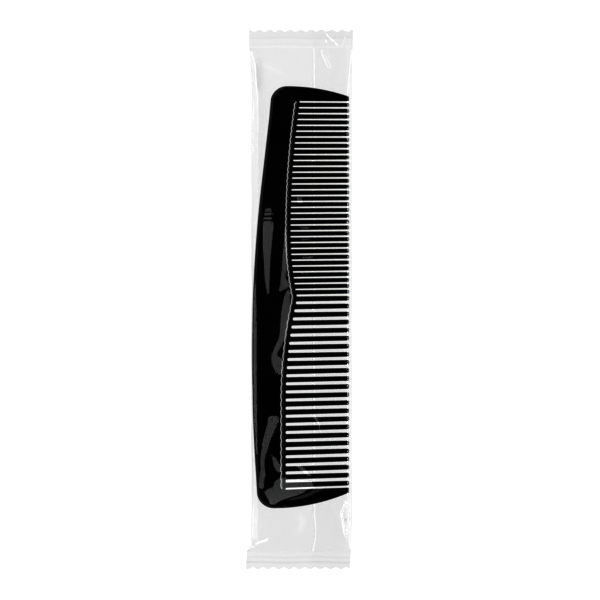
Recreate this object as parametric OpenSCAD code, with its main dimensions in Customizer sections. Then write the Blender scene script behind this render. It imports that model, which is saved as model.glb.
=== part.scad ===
// Pocket hair comb with a fine half and a coarse half, lying in its clear flow-wrap sachet.
// The comb is one moulding and the sachet is one web of film. Each is divided into named regions
// that meet face to face, so that the tooth gaps and the inside of the sachet stay open.
// X runs from the back of the comb to the tooth tips, Y along the comb towards its fine end, Z up.

/* [Comb body] */
// Overall length of the comb
comb_len = 127; // [115:0.5:130]
// Place of the widest point of the curved back
back_x = -14.5; // [-14.7:0.05:-13.5]
// Place of the line of tooth tips
tips_x = 14.75; // [13.5:0.05:15]
// Thickness of the back
back_thick = 2.8; // [2.5:0.05:3]
// Thickness of the thinner web from which the teeth start
root_thick = 2.1; // [1.7:0.05:2.2]
// Thickness at the tooth tips
tip_thick = 1.2; // [1:0.05:1.4]
// Width of the thinner web between the step in the face and the ends of the gaps
web_w = 1.35; // [1:0.05:1.6]
// Distance of the comb from the middle of the sachet, towards the fine end
comb_shift = 0.7; // [-1:0.1:1]

/* [Teeth] */
// Number of gaps in the fine half
fine_gaps = 34; // [20:1:34]
// Distance from one fine gap to the next
fine_pitch = 1.76; // [1.6:0.01:1.76]
// Width of a fine gap at its closed end
fine_gap_root = 0.5; // [0.4:0.01:0.6]
// Number of gaps in the coarse half
coarse_gaps = 24; // [14:1:24]
// Distance from one coarse gap to the next
coarse_pitch = 2.43; // [2.2:0.01:2.43]
// Width of a coarse gap at its closed end
coarse_gap_root = 0.95; // [0.8:0.01:1.1]
// How much wider every gap is at the tips than at its closed end
gap_taper = 0.15; // [0.05:0.01:0.3]
// Place of the first fine gap
first_gap_y = 58.75; // [58:0.05:59]
// Lean of the first fine tooth towards the coarse end, in degrees
fine_lean = -0.15; // [-0.5:0.05:0]
// Lean of the last coarse tooth towards the fine end, in degrees
coarse_lean = 1.85; // [0:0.05:2]

/* [Sachet] */
// Overall length of the sachet, from one cut edge to the other
sachet_len = 162.4; // [160:0.2:168]
// Width of the crimped end seals
seal_w = 31.2; // [30.8:0.1:31.6]
// Length of each crimped end seal
seal_len = 5.4; // [4.5:0.1:6]
// Sideways offset of the two end seals, which a wrapping machine never lines up exactly
seal_skew = 0.3; // [0:0.05:0.4]
// Thickness of the film
film = 0.05; // [0.04:0.01:0.08]
// Clearance between the film and the comb
slack = 0.2; // [0.15:0.05:0.3]
// Width of the lengthwise fin seal, folded flat under the back
fin_w = 10; // [8:0.5:10]
// Place of the fold of the fin seal
fin_x = 4.2; // [3:0.1:4.6]
// Travel of the comb in the sachet towards the fine end
travel_fine = 4; // [2:0.5:6]
// Travel of the comb in the sachet towards the coarse end
travel_coarse = 5.5; // [3:0.5:7.5]
// Height of the crimp ridges above and below the middle of a seal
ridge_h = 0.18; // [0.1:0.02:0.25]
// Number of crimp ridges in each seal
ridges = 3; // [2:1:4]
// Width of one point of the serrated cut edge
point_w = 3.12; // [2.6:0.02:3.9]
// Depth of the serrated cut edge
point_h = 0.6; // [0.4:0.05:0.8]

/* [Hidden] */
$fn = 48;
plastic = [0.03, 0.03, 0.035];
clear_film = [0.86, 0.88, 0.9, 0.35];
eps = 0.01;
far = 40;

// Heights: the left back panel and the fin lie on the surface, and the comb floats just clear of the film.
fin_thick = 2 * film;
comb_low = fin_thick + film + slack;
mid_z = comb_low + back_thick / 2;
sachet_h = comb_low + back_thick + slack + film;

// Plan of the comb, with its own middle at 0.
half_len = comb_len / 2;
widest_y = -17.1;
upper_back_r = 452;
lower_back_r = 527;
straight_y = 35.3;
fine_corner = [-3.9, half_len - 5, 5];
coarse_corner = [-7.9, 5.1 - half_len, 5.1];
end_bow_r = 57;
edge_steps = [[0, 0.5], [0.22, 0.95], [0.7, back_thick / 2]];

// The curved line on which the gaps end.
fine_hollow = [-2.92, 19.6];
peak = [-0.93, -0.25];
coarse_flat = [-4.34, -31];
first_root_x = -0.15;

coarse_first_y = first_gap_y - (fine_gaps - 1) * fine_pitch - (fine_pitch + coarse_pitch) / 2 - 0.13;
last_gap_y = coarse_first_y - (coarse_gaps - 1) * coarse_pitch;
pitch_line_x = 6.5;

// The sachet's tube between its tapered ends, and the section across it.
tube_fine_y = comb_shift + half_len + travel_fine + slack;
tube_coarse_y = comb_shift - half_len - travel_coarse - slack;
seal_y = sachet_len / 2 - seal_len;
left_x = back_x - slack - film;
right_x = 15.6;

// x of the comb's back at a height y of the comb's own plan.
function arc_x(dy, r) = r - sqrt(r * r - dy * dy);
function back_slope() = (straight_y - widest_y) / upper_back_r;
function back_curve(y) = back_x + (
    y < widest_y ? arc_x(y - widest_y, lower_back_r) :
    y < straight_y ? arc_x(y - widest_y, upper_back_r) :
    arc_x(straight_y - widest_y, upper_back_r) + (y - straight_y) * back_slope());

function fine_bow(x) = half_len - arc_x(x - fine_corner[0], end_bow_r);
function coarse_bow(x) = -half_len + arc_x(x - coarse_corner[0], end_bow_r);
function corner(c, inset, a, b) =
    [for (t = [0 : 0.125 : 1]) [c[0], c[1]] + (c[2] - inset) * [cos(a + t * (b - a)), sin(a + t * (b - a))]];

// Outline of the comb, drawn in by inset all round.
function outline(inset) = concat(
    [for (t = [1 : -0.2 : 0])
        let (x = coarse_corner[0] + t * (tips_x - inset - coarse_corner[0])) [x, coarse_bow(x) + inset]],
    corner(coarse_corner, inset, 270, 186),
    [for (y = [-54 : 6 : 54]) [back_curve(y) + inset, y]],
    corner(fine_corner, inset, 173, 90),
    [for (t = [0 : 0.2 : 1])
        let (x = fine_corner[0] + t * (tips_x - inset - fine_corner[0])) [x, fine_bow(x) - inset]]);

// x at which the gaps end, at a height y.
function share(y, from, to) = pow((y - from) / (to - from), 2);
function root_x(y) =
    y > fine_hollow[1] ?
        fine_hollow[0] + (first_root_x - fine_hollow[0]) * share(y, fine_hollow[1], first_gap_y) :
    y > peak[1] ? fine_hollow[0] + (peak[0] - fine_hollow[0]) * share(y, fine_hollow[1], peak[1]) :
    y > coarse_flat[1] ? coarse_flat[0] + (peak[0] - coarse_flat[0]) * share(y, coarse_flat[1], peak[1]) :
    coarse_flat[0];

function lean(y) = coarse_lean + (fine_lean - coarse_lean) * (y - last_gap_y) / (first_gap_y - last_gap_y);
function half_gap(root_gap, x, y) =
    root_gap / 2 + gap_taper / 2 * (x - root_x(y)) / (tips_x - root_x(y));

// Rounded slab of the comb's full outline, thinning towards the tips.
module blank() {
    intersection() {
        hull()
            for (step = edge_steps)
                linear_extrude(2 * step[1], center = true) polygon(outline(step[0]));
        rotate([90, 0, 0])
            linear_extrude(2 * far * 2, center = true)
                polygon([
                    [-far, -back_thick / 2], [coarse_flat[0], -back_thick / 2],
                    [tips_x, -tip_thick / 2 - 0.1], [tips_x, tip_thick / 2 + 0.1],
                    [coarse_flat[0], back_thick / 2], [-far, back_thick / 2]]);
    }
}

// Area between the two end guards, to the right of the line of gap ends moved left by shift_x.
module tooth_field(shift_x, high) {
    fine_edge = first_gap_y + fine_gap_root / 2;
    coarse_edge = last_gap_y - coarse_gap_root / 2;
    step = (fine_edge - coarse_edge) / 60;
    linear_extrude(high, center = true)
        polygon(concat(
            [for (y = [coarse_edge : step : fine_edge + eps]) [root_x(y) - shift_x, y]],
            [[far, fine_edge + (far - root_x(fine_edge)) * tan(lean(fine_edge))],
             [far, coarse_edge + (far - root_x(coarse_edge)) * tan(lean(coarse_edge))]]));
}

// Everything above the first gap or below the last one, and to the right of the ends of the gaps.
module guard_area(y, side) {
    translate([root_x(y), y, -far])
        rotate([0, 0, lean(y)])
            translate([0, side > 0 ? 0 : -far, 0]) cube([far, far, 2 * far]);
}

module spine() {
    color(plastic)
        placed()
            difference() {
                blank();
                tooth_field(0, far);
                for (side = [-1, 1])
                    translate([0, 0, side * (root_thick / 2 + back_thick / 2)])
                        tooth_field(web_w, back_thick);
                guard_area(first_gap_y + fine_gap_root / 2, 1);
                guard_area(last_gap_y - coarse_gap_root / 2, -1);
            }
}

module end_guard(y, side) {
    color(plastic)
        placed()
            intersection() {
                blank();
                guard_area(y, side);
            }
}

module fine_end_guard() end_guard(first_gap_y + fine_gap_root / 2, 1);

module coarse_end_guard() end_guard(last_gap_y - coarse_gap_root / 2, -1);

// One tooth on its own middle line, from the ends of the gaps to its rounded tip.
module tooth(y, root_w) {
    long = tips_x - root_x(y);
    tip_w = root_w - gap_taper;
    tip_r = tip_thick / 2;
    intersection() {
        linear_extrude(far, center = true) {
            polygon([[-far, -root_w / 2], [0, -root_w / 2], [long - tip_w / 2, -tip_w / 2],
                     [long - tip_w / 2, tip_w / 2], [0, root_w / 2], [-far, root_w / 2]]);
            translate([long - tip_w / 2, 0]) circle(d = tip_w);
        }
        rotate([90, 0, 0])
            linear_extrude(far, center = true) {
                polygon([[-far, -root_thick / 2], [0, -root_thick / 2], [long - tip_r, -tip_r],
                         [long - tip_r, tip_r], [0, root_thick / 2], [-far, root_thick / 2]]);
                translate([long - tip_r, 0]) circle(r = tip_r);
            }
    }
}

// Puts a tooth where its middle line meets the line of gap ends, and trims it against the web.
module set_tooth(y, root_w) {
    root_y = y - (pitch_line_x - root_x(y)) * tan(lean(y));
    intersection() {
        translate([root_x(root_y), root_y, 0]) rotate([0, 0, lean(root_y)]) tooth(root_y, root_w);
        tooth_field(0, far);
    }
}

module fine_teeth() {
    color(plastic)
        placed()
            for (i = [0 : fine_gaps - 2])
                set_tooth(first_gap_y - (i + 0.5) * fine_pitch, fine_pitch - fine_gap_root);
}

// The first coarse tooth stands between the last fine gap and the first coarse gap.
module coarse_teeth() {
    last_fine_y = first_gap_y - (fine_gaps - 1) * fine_pitch;
    color(plastic)
        placed() {
            set_tooth((last_fine_y + coarse_first_y) / 2, coarse_pitch - coarse_gap_root);
            for (i = [0 : coarse_gaps - 2])
                set_tooth(coarse_first_y - (i + 0.5) * coarse_pitch, coarse_pitch - coarse_gap_root);
        }
}

module placed() translate([0, comb_shift, mid_z]) children();

// Section across the tube of film, with its underside at low, drawn in by inset all round.
function section(low, inset) = [
    [left_x + 0.7 + inset / 2, low + inset], [left_x + inset, mid_z - 0.6], [left_x + inset, mid_z + 0.6],
    [left_x + 0.9 + inset / 2, sachet_h - inset], [-1, sachet_h - inset],
    [right_x - 0.3 - inset, mid_z + 1.0 - inset / 2], [right_x - inset, mid_z + 0.65],
    [right_x - inset, mid_z - 0.7], [right_x - 0.6 - inset / 2, low + inset]];

// Convex outside of the tube, or its inside where inset is the film's thickness.
module tube(low, inset) {
    hull() {
        translate([0, tube_fine_y, 0])
            rotate([90, 0, 0])
                linear_extrude(tube_fine_y - tube_coarse_y) polygon(section(low, inset));
        for (end = [-1, 1])
            translate([end * seal_skew, end * (seal_y - inset), mid_z])
                cube([seal_w - 2 * inset, eps, 2 * (film - inset) + eps], center = true);
    }
}

module film_shell(low) {
    difference() {
        tube(low, 0);
        tube(low, film);
    }
}

module front_panel() {
    color(clear_film)
        intersection() {
            film_shell(0);
            translate([-far, -seal_y, mid_z]) cube([2 * far, 2 * seal_y, far]);
        }
}

module back_left_panel() {
    color(clear_film)
        intersection() {
            film_shell(0);
            translate([fin_x - far, -seal_y, mid_z - far]) cube([far, 2 * seal_y, far]);
        }
}

module back_right_panel() {
    color(clear_film)
        intersection() {
            film_shell(fin_thick);
            translate([fin_x, -seal_y, mid_z - far]) cube([far, 2 * seal_y, far]);
        }
}

// The two edges of the web, sealed together and folded flat against the right back panel.
module fin_seal() {
    color(clear_film)
        intersection() {
            difference() {
                tube(0, 0);
                tube(fin_thick, 0);
            }
            translate([fin_x, -seal_y, mid_z - far]) cube([fin_w, 2 * seal_y, far]);
        }
}

// Height of the crimped seal's middle at a distance along it.
function ridge(s) = ridge_h * sin(360 * ridges * s) * (s <= 0 || s >= 1 ? 0 : 1);

module end_seal(side) {
    steps = 12 * ridges;
    along = [for (i = [0 : steps]) i / steps];
    points = round(seal_w / point_w);
    color(clear_film)
        translate([side * seal_skew, 0, mid_z])
            intersection() {
                rotate([90, 0, 90])
                    linear_extrude(seal_w, center = true)
                        polygon(concat(
                            [for (s = along) [side * (seal_y + s * seal_len), ridge(s) - film]],
                            [for (s = [for (i = [steps : -1 : 0]) i / steps])
                                [side * (seal_y + s * seal_len), ridge(s) + film]]));
                linear_extrude(far, center = true)
                    polygon(concat(
                        [[-seal_w / 2, 0], [seal_w / 2, 0]],
                        [for (i = [2 * points : -1 : 0])
                            [(i / points - 1) * seal_w / 2,
                             side * (seal_y + seal_len - (i % 2) * point_h)]]));
            }
}

module fine_end_seal() end_seal(1);

module coarse_end_seal() end_seal(-1);

spine();
fine_end_guard();
coarse_end_guard();
fine_teeth();
coarse_teeth();
front_panel();
back_left_panel();
back_right_panel();
fin_seal();
fine_end_seal();
coarse_end_seal();
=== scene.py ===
"""Pocket hair comb lying in its clear flow-wrap sachet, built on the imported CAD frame.

The comb is one glossy black moulding: a back with two end guards, a row of fine teeth and a row of
coarse teeth. The sachet is one web of clear film: a front, two backs, a fin seal folded flat behind
them and two crimped end seals. Sizes are in millimetres and become metres as each piece is finished.
"""

import logging
import math
from collections.abc import Callable, Sequence
from dataclasses import dataclass
from enum import Enum

import bmesh
import bpy
import numpy as np
from mathutils import Matrix, Vector, noise


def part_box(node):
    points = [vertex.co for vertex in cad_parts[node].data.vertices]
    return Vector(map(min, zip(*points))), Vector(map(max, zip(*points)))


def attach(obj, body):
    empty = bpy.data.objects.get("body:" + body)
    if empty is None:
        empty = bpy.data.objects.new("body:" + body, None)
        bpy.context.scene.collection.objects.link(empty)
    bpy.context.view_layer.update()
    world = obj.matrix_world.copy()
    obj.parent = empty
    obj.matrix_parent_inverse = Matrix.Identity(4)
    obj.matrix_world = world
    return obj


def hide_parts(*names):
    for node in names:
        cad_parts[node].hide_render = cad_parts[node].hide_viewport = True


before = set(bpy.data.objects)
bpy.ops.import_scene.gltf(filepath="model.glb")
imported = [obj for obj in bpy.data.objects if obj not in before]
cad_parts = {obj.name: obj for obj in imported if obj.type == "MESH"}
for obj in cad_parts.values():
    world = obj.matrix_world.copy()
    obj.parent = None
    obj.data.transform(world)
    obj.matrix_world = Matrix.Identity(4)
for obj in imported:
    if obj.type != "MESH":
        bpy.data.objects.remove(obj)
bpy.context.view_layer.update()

MM = 0.001
log = logging.getLogger("comb")

Point = tuple[float, float, float]
Line = tuple[tuple[float, float], ...]
Array = np.ndarray
Place = Callable[[Array, Array], Array]


class End(Enum):
    """The two ends of the comb and of its sachet, with the sign of their side along Y."""

    FINE = 1
    COARSE = -1


class Body(Enum):
    """The two bodies that move on their own."""

    COMB = "comb"
    SACHET = "sachet"


class Slot(Enum):
    """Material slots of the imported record."""

    COMB = "comb_plastic"
    FILM = "clear_film"
    SEAL = "seal_film"


def mm_box(node: str) -> tuple[Vector, Vector]:
    """Gives the lowest and the highest corner of a CAD node, in millimetres."""
    low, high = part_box(node)
    return low / MM, high / MM


def smooth_step(t: Array | float) -> Array | float:
    """Eases a share from 0 to 1, level at both ends."""
    t = np.clip(t, 0.0, 1.0)
    return t * t * (3 - 2 * t)


def hump(t: Array) -> Array:
    """Makes a bell curve of height 1 about 0."""
    return np.exp(-(t**2))


# ---------------------------------------------------------------- mesh helpers


def loft(
    bm: bmesh.types.BMesh, rings: Sequence[Sequence[Point]], caps: bool = True,
) -> list[bmesh.types.BMFace]:
    """Lofts a skin through closed rings that all have the same number of points.

    Args:
        bm: the mesh that the skin is added to.
        rings: points of each ring, in millimetres, in the same order round each.
        caps: True closes the first and the last ring with a face.

    Returns:
        The two end faces, or an empty list.
    """
    layer = bm.verts.layers.int.get("station") or bm.verts.layers.int.new("station")
    start = bmesh.ops.create_circle(bm, segments=len(rings[0]), radius=1.0)["verts"]
    for i, vert in enumerate(start):
        vert.co = rings[0][i]
        vert[layer] = i
    first = list(dict.fromkeys(e for v in start for e in v.link_edges))
    edges = first
    for points in rings[1:]:
        made = bmesh.ops.extrude_edge_only(bm, edges=edges)["geom"]
        for vert in (g for g in made if isinstance(g, bmesh.types.BMVert)):
            vert.co = points[vert[layer]]
        edges = [g for g in made if isinstance(g, bmesh.types.BMEdge)]
        edges = [e for e in edges if all(v in made for v in e.verts)]
    if not caps:
        return []
    ends = []
    for loop in (first, edges):
        ends += bmesh.ops.edgeloop_fill(bm, edges=loop)["faces"]
    return ends


def sheet_grid(across: int, along: int, place: Place) -> bmesh.types.BMesh:
    """Makes a sheet from a grid whose points are moved to where place puts them.

    Args:
        across: number of cells across the sheet.
        along: number of cells along the sheet.
        place: takes the shares across and along, both from 0 to 1, and returns places in millimetres.

    Returns:
        The new mesh.
    """
    bm = bmesh.new()
    bmesh.ops.create_grid(bm, x_segments=across, y_segments=along, size=0.5)
    shares = np.array([v.co[:2] for v in bm.verts]) + 0.5
    places = place(shares[:, 0], shares[:, 1])
    for vert, co in zip(bm.verts, places):
        vert.co = co
    return bm


def dress_sheet(bm: bmesh.types.BMesh, up: bool) -> None:
    """Smooths an open sheet's faces and turns them up or down.

    Args:
        bm: the sheet.
        up: True turns them up.
    """
    for face in bm.faces:
        face.smooth = True
    total = sum((f.normal.z * f.calc_area() for f in bm.faces), 0.0)
    if (total > 0) != up:
        bmesh.ops.reverse_faces(bm, faces=bm.faces)


def make_piece(
    name: str, bm: bmesh.types.BMesh, body: Body, node: str, material: bpy.types.Material,
) -> bpy.types.Object:
    """Turns a mesh in millimetres into a finished piece that rides on a body.

    Args:
        name: the piece's name.
        bm: its mesh in millimetres, which is freed.
        body: the body that it moves with.
        node: the CAD node that it stands for.
        material: its finish.

    Returns:
        The new object, at the origin.
    """
    bmesh.ops.scale(bm, vec=(MM, MM, MM), verts=bm.verts)
    mesh = bpy.data.meshes.new(name)
    bm.normal_update()
    bm.to_mesh(mesh)
    bm.free()
    station = mesh.attributes.get("station")
    if station:
        mesh.attributes.remove(station)
    mesh.materials.append(material)
    obj = bpy.data.objects.new(name, mesh)
    bpy.context.scene.collection.objects.link(obj)
    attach(obj, body.value)
    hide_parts(node)
    log.info("%s: %d faces on %s", name, len(mesh.polygons), body.value)
    return obj


# ---------------------------------------------------------------- finishes


class Nodes:
    """Short ways to add and join shader nodes in one tree."""

    def __init__(self, tree: bpy.types.NodeTree) -> None:
        """Keeps the tree that the nodes go in."""
        self.tree = tree

    def add(self, kind: str, values: dict | None = None, **settings: object) -> bpy.types.Node:
        """Adds a node.

        Args:
            kind: the node's type name without its ShaderNode prefix.
            values: input name or number to a value, or to an output socket to join.
            settings: properties of the node.

        Returns:
            The new node.
        """
        node = self.tree.nodes.new("ShaderNode" + kind)
        for key, value in settings.items():
            setattr(node, key, value)
        for key, value in (values or {}).items():
            socket = node.inputs[key]
            if isinstance(value, bpy.types.NodeSocket):
                self.tree.links.new(value, socket)
            else:
                socket.default_value = value
        return node

    def math(self, operation: str, a: object, b: object = 0.0, clamp: bool = False) -> bpy.types.NodeSocket:
        """Adds a Math node and returns its output."""
        return self.add("Math", {0: a, 1: b}, operation=operation, use_clamp=clamp).outputs[0]

    def noise(self, place: object, scale: object, detail: float, rough: float = 0.5) -> bpy.types.NodeSocket:
        """Adds a Noise Texture and returns its value."""
        values = {"Vector": place, "Scale": scale, "Detail": detail, "Roughness": rough}
        return self.add("TexNoise", values).outputs[0]

    def spread(
        self, value: object, low: float, high: float, to_low: float, to_high: float,
    ) -> bpy.types.NodeSocket:
        """Adds a clamped Map Range and returns its output."""
        values = {0: value, 1: low, 2: high, 3: to_low, 4: to_high}
        return self.add("MapRange", values).outputs[0]


class SurfaceMarks:
    """Node group of fine marks: long soft ripples with small scuffs over them."""

    NAME = "surface marks"
    INPUTS = ("Ripple Size", "Scuff Size", "Scuff Share")
    OUTPUTS = ("Height", "Scuffs", "Patches")

    @classmethod
    def group(cls) -> bpy.types.NodeTree:
        """Finds the group, or builds it the first time that it is asked for.

        Returns:
            The group, with a height for bumps, a mask of scuffs and a mask of wide patches.
        """
        found = bpy.data.node_groups.get(cls.NAME)
        if found:
            return found
        group = bpy.data.node_groups.new(cls.NAME, "ShaderNodeTree")
        group.interface.new_socket("Place", in_out="INPUT", socket_type="NodeSocketVector")
        for label in cls.INPUTS:
            group.interface.new_socket(label, in_out="INPUT", socket_type="NodeSocketFloat")
        for label in cls.OUTPUTS:
            group.interface.new_socket(label, in_out="OUTPUT", socket_type="NodeSocketFloat")
        nodes = Nodes(group)
        given, gives = group.nodes.new("NodeGroupInput"), group.nodes.new("NodeGroupOutput")
        place = given.outputs["Place"]
        ripple = nodes.noise(place, given.outputs["Ripple Size"], 2.0)
        long = nodes.add("Mapping", {"Vector": place, "Scale": (1.0, 0.18, 1.0), "Rotation": (0.0, 0.0, 0.5)})
        scuff = nodes.noise(long.outputs[0], given.outputs["Scuff Size"], 3.0)
        marks = nodes.spread(scuff, 0.58, 0.72, 0.0, 1.0)
        patch = nodes.noise(place, 45.0, 3.0, 0.6)
        shared = nodes.math("MULTIPLY", marks, given.outputs["Scuff Share"])
        height = nodes.math("ADD", ripple, nodes.math("MULTIPLY", shared, 0.15))
        links = group.links
        links.new(height, gives.inputs["Height"])
        links.new(shared, gives.inputs["Scuffs"])
        links.new(nodes.spread(patch, 0.35, 0.7, 0.0, 1.0), gives.inputs["Patches"])
        return group


def new_material(
    name: str, sizes: Point,
) -> tuple[bpy.types.Material, Nodes, bpy.types.Node, bpy.types.Node]:
    """Makes a material with a Principled shader and the fine marks on Object coordinates.

    Args:
        name: the material's name.
        sizes: noise scale of the ripples, noise scale of the scuffs and the scuffs' share.

    Returns:
        The material, its Nodes helper, its shader node and its marks node.
    """
    material = bpy.data.materials.new(name)
    material.use_nodes = True
    tree = material.node_tree
    nodes = Nodes(tree)
    marks = nodes.add("Group")
    marks.node_tree = SurfaceMarks.group()
    for label, value in zip(SurfaceMarks.INPUTS, sizes):
        marks.inputs[label].default_value = value
    tree.links.new(nodes.add("TexCoord").outputs["Object"], marks.inputs["Place"])
    return material, nodes, tree.nodes["Principled BSDF"], marks


@dataclass(frozen=True)
class CombPlastic:
    """Glossy black moulded styrene, with the mould's soft ripple and a few handling scuffs."""

    name: str = "comb plastic"
    colour: float = 0.0035
    dusty: float = 0.008
    polished: float = 0.07
    uneven: float = 0.05
    dulled: float = 0.2
    ior: float = 1.55
    ripple: float = 0.25
    ripple_depth: float = 0.00006
    marks: Point = (70.0, 1400.0, 0.35)

    def material(self) -> bpy.types.Material:
        """Builds the finish.

        Returns:
            The new material.
        """
        material, nodes, shader, marks = new_material(self.name, self.marks)
        link = material.node_tree.links.new
        patches, scuffs = marks.outputs["Patches"], marks.outputs["Scuffs"]
        dust = nodes.add("Mix", {0: patches}, data_type="RGBA")
        dust.inputs[6].default_value = (self.colour,) * 3 + (1.0,)
        dust.inputs[7].default_value = (self.dusty,) * 3 + (1.0,)
        link(dust.outputs[2], shader.inputs["Base Color"])
        rough = nodes.spread(patches, 0.0, 1.0, self.polished, self.polished + self.uneven)
        rough = nodes.math("ADD", rough, nodes.math("MULTIPLY", scuffs, self.dulled))
        link(rough, shader.inputs["Roughness"])
        values = {"Height": marks.outputs["Height"], "Strength": self.ripple, "Distance": self.ripple_depth}
        link(nodes.add("Bump", values).outputs[0], shader.inputs["Normal"])
        shader.inputs["IOR"].default_value = self.ior
        return material


@dataclass(frozen=True)
class FilmFinish:
    """Clear packing film, seen by what it mirrors: a little face on, and much more edge on.

    sheen is what one layer mirrors face on, haze is how milky it is, and crinkle is how strongly its
    ripples bend what it mirrors.
    """

    name: str
    layers: float = 1.0
    rough: float = 0.1
    crinkle: float = 0.06
    sheen: float = 0.073
    haze: float = 0.006
    uneven: float = 0.02
    crinkle_depth: float = 0.00008
    marks: Point = (150.0, 400.0, 0.2)
    edge_power: float = 5.0
    tint: tuple[float, float, float, float] = (0.6, 0.605, 0.61, 1.0)

    def material(self) -> bpy.types.Material:
        """Builds the finish; a vertex attribute of the sheet gives its extra layers: real folds, with painted
        shade where layers are added and painted light where they are taken away.

        Returns:
            The new material.
        """
        material, nodes, shader, marks = new_material(self.name, self.marks)
        link = material.node_tree.links.new
        shader.inputs["Base Color"].default_value = self.tint
        shader.inputs["Metallic"].default_value = 1.0
        patches, scuffs = marks.outputs["Patches"], marks.outputs["Scuffs"]
        rough = nodes.spread(patches, 0.0, 1.0, self.rough, self.rough + self.uneven)
        rough = nodes.math("ADD", rough, nodes.math("MULTIPLY", scuffs, self.uneven))
        link(rough, shader.inputs["Roughness"])
        values = {"Height": marks.outputs["Height"], "Strength": self.crinkle, "Distance": self.crinkle_depth}
        link(nodes.add("Bump", values).outputs[0], shader.inputs["Normal"])
        facing = nodes.add("LayerWeight", {"Blend": 0.5}).outputs["Facing"]
        mirror = nodes.spread(nodes.math("POWER", facing, self.edge_power), 0.0, 1.0, self.sheen, 1.0)
        cloudy = nodes.math("MULTIPLY", nodes.math("ADD", patches, scuffs), self.haze)
        clear = nodes.math("SUBTRACT", 1.0, nodes.math("ADD", mirror, cloudy, clamp=True))
        # Extra layers from the sheet: real folds, painted shade and painted light; more layers mirror more
        # and let less light through.
        pleat_and_painted_light = nodes.add("Attribute", attribute_name="pleat_and_painted_light").outputs["Fac"]
        through = nodes.math("POWER", clear, nodes.math("ADD", pleat_and_painted_light, self.layers))
        link(nodes.math("SUBTRACT", 1.0, through, clamp=True), shader.inputs["Alpha"])
        return material


@dataclass(frozen=True)
class TableFinish:
    """White light table with a faint satin surface."""

    name: str = "light table"
    grey: float = 0.06
    glow: float = 0.98

    def material(self) -> bpy.types.Material:
        """Builds the finish.

        Returns:
            The new material.
        """
        material = bpy.data.materials.new(self.name)
        material.use_nodes = True
        shader = material.node_tree.nodes["Principled BSDF"]
        shader.inputs["Base Color"].default_value = (self.grey,) * 3 + (1.0,)
        shader.inputs["Roughness"].default_value = 0.9
        shader.inputs["Specular IOR Level"].default_value = 0.0
        shader.inputs["Emission Color"].default_value = (1.0, 1.0, 1.0, 1.0)
        shader.inputs["Emission Strength"].default_value = self.glow
        return material


# ---------------------------------------------------------------- the comb


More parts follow.
